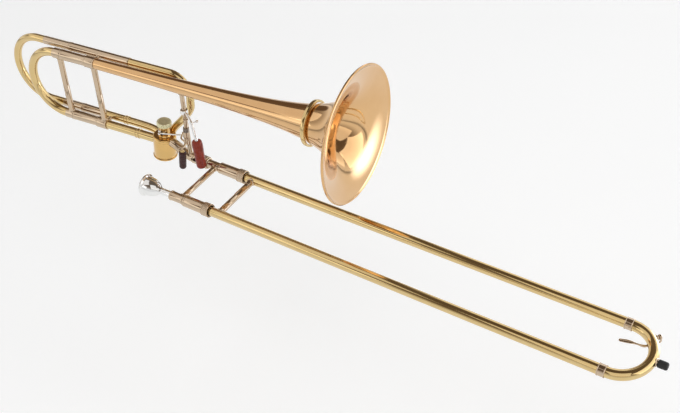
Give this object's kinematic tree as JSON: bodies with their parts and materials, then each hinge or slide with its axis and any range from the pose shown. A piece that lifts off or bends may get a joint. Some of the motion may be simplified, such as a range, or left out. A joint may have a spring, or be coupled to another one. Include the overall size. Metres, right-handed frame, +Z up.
{
  "type": "tenor trombone",
  "caption": "Tenor trombone with a rotary valve attachment: hand slide with end bow and water key, flared bell, tuning slides, thumb trigger and mouthpiece.",
  "frame": {"origin": "on the axis of the bell-side slide tube, where the inner slide brace meets it and the left hand holds the instrument", "axes": "+X the way the hand slide runs out, +Y from the mouthpiece-side tube to the bell-side tube, +Z up, from the hand slide to the bell"},
  "size_m": [1.215, 0.2561, 0.2611],
  "materials": {
    "gold_brass": "polished and clear lacquered",
    "rose_brass": "polished and clear lacquered",
    "nickel": "polished nickel silver under lacquer",
    "silver": "polished silver plate",
    "red_wood": "varnished",
    "dark_wood": "varnished",
    "rubber": "matt",
    "cork": "raw"
  },
  "bodies": {
    "inner_slide": {"mouthpiece_receiver": "nickel", "slide_tenon": "nickel", "cork_barrel_near": "nickel", "cork_barrel_far": "nickel", "barrel_ring_far": "nickel", "inner_tube_near": "silver", "inner_tube_far": "silver", "inner_brace": "nickel"},
    "mouthpiece": {"mouthpiece": "silver"},
    "slide_lock_ring": {"slide_lock_ring": "nickel"},
    "slide_lock_nut": {"slide_lock_nut": "nickel"},
    "outer_slide": {"outer_tube_near": "gold_brass", "outer_tube_far": "gold_brass", "outer_brace": "nickel", "bow_ferrule_near": "nickel", "bow_ferrule_far": "nickel", "end_bow": "gold_brass", "bumper_socket": "nickel", "rubber_bumper": "rubber", "water_key_nipple": "nickel", "water_key_saddle": "nickel", "water_key_pin": "nickel"},
    "water_key": {"water_key_lever": "nickel", "water_key_cork": "cork"},
    "bell_section": {"bell": "rose_brass", "throat_ring": "gold_brass", "tuning_sleeve_upper": "nickel", "tuning_sleeve_lower": "nickel", "fixed_brace": "nickel", "loop_sleeve_upper": "nickel", "loop_sleeve_lower": "nickel", "loop_brace_upper": "nickel", "loop_brace_lower": "nickel", "main_lower_tube": "gold_brass", "loop_lower_tube": "gold_brass", "loop_upper_tube": "gold_brass", "valve_casing": "gold_brass", "valve_bottom_cap": "gold_brass", "valve_neck": "gold_brass", "valve_cap": "gold_brass", "lever_bearing": "nickel", "neckpipe": "nickel", "slide_receiver": "nickel", "bell_brace": "nickel"},
    "tuning_slide": {"tuning_bow": "gold_brass", "tuning_leg_upper": "nickel", "tuning_leg_lower": "nickel", "tuning_brace": "nickel"},
    "loop_slide": {"loop_bow": "gold_brass", "loop_leg_upper": "nickel", "loop_leg_lower": "nickel"},
    "rotor": {"valve_rotor": "nickel", "stop_arm": "nickel"},
    "trigger": {"trigger_lever": "nickel", "thumb_piece": "dark_wood"},
    "valve_link": {"valve_link": "silver"},
    "hand_rest": {"hand_rest_rod": "silver", "hand_rest_grip": "red_wood", "hand_rest_screw": "silver"}
  },
  "joints": [
    {"name": "hand_slide", "type": "slide", "parent": "inner_slide", "child": "outer_slide", "axis": [1, 0, 0], "range_m": [0, 0.6]},
    {"name": "mouthpiece_pull", "type": "slide", "parent": "inner_slide", "child": "mouthpiece", "axis": [-1, 0, 0], "range_m": [0, 0.03]},
    {"name": "slide_lock", "type": "hinge", "parent": "inner_slide", "child": "slide_lock_ring", "pos_m": [0.0535, -0.092, 0], "axis": [1, 0, 0], "range_deg": [0, 40]},
    {"name": "bell_lock_nut", "type": "hinge", "parent": "inner_slide", "child": "slide_lock_nut", "pos_m": [-0.0247, 0, 0], "axis": [1, 0, 0], "range_deg": [0, 90]},
    {"name": "water_key_pivot", "type": "hinge", "parent": "outer_slide", "child": "water_key", "pos_m": [0.74377, -0.01182, -0.0125], "axis": [-0.7202, 0.6937, 0], "range_deg": [0, 20], "stiffness_Nm_per_rad": 0.05, "springref_deg": -22.92},
    {"name": "bell_swivel", "type": "hinge", "parent": "inner_slide", "child": "bell_section", "pos_m": [-0.037, 0, 0], "axis": [1, 0, 0], "range_deg": [-20, 20]},
    {"name": "main_tuning", "type": "slide", "parent": "bell_section", "child": "tuning_slide", "axis": [-0.9962, -0.0869, 0.0061], "range_m": [0, 0.055]},
    {"name": "valve_loop_tuning", "type": "slide", "parent": "bell_section", "child": "loop_slide", "axis": [-0.9962, -0.0869, 0.0061], "range_m": [0, 0.036]},
    {"name": "valve_turn", "type": "hinge", "parent": "bell_section", "child": "rotor", "pos_m": [-0.11263, 0.00266, 0.00468], "axis": [0.1214, 0.0798, 0.9894], "range_deg": [0, 45]},
    {"name": "trigger_pivot", "type": "hinge", "parent": "bell_section", "child": "trigger", "pos_m": [-0.04764, -0.00453, 0.065], "axis": [0.1214, 0.0798, 0.9894], "range_deg": [-22, 0], "stiffness_Nm_per_rad": 0.2, "springref_deg": 17.19},
    {"name": "link_pivot", "type": "hinge", "parent": "trigger", "child": "valve_link", "pos_m": [-0.07334, 0.01072, 0.03034], "axis": [0.1214, 0.0798, 0.9894], "range_deg": [0, 26]},
    {"name": "hand_rest_turn", "type": "hinge", "parent": "bell_section", "child": "hand_rest", "pos_m": [-0.05541, 0.00699, 0.08833], "axis": [0, 0.0698, 0.9976], "range_deg": [-10, 10]}
  ],
  "couplings": [
    {"joint": "valve_turn", "follows": "trigger_pivot", "ratio": -2.0362},
    {"joint": "link_pivot", "follows": "trigger_pivot", "ratio": -1.139}
  ]
}
